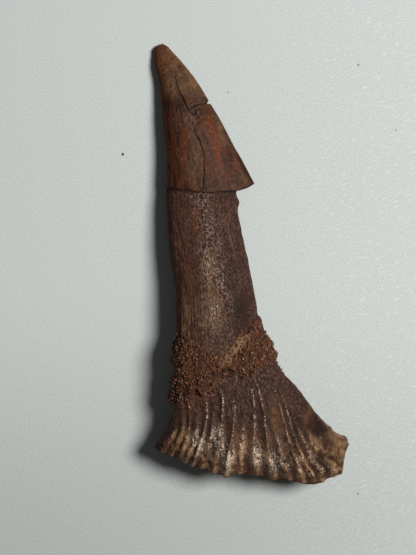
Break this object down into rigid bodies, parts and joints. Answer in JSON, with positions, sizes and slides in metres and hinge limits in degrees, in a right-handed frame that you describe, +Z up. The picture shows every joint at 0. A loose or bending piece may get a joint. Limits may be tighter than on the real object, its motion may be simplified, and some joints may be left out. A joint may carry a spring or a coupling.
{
  "type": "fossil sawfish rostral tooth",
  "caption": "Fossil sawfish rostral tooth lying flat: barbed enamelled cap, long stem, flared fluted base, and a crust of cemented sand round the neck.",
  "frame": {"origin": "middle of the bottom of the bounding box, on the surface that the tooth lies on", "axes": "+Y from the fluted base to the tip, +X to the side that the barb points to, +Z up from the surface"},
  "size_m": [0.0222, 0.0502, 0.0059],
  "materials": {
    "fossil_tooth": "glossy brown fossil enamel and semi-gloss dentine",
    "sand_crust": "rough, iron-stained cemented sand"
  },
  "bodies": {
    "root": {"rostral_tooth": "fossil_tooth", "sand_matrix": "sand_crust"}
  },
  "joints": []
}
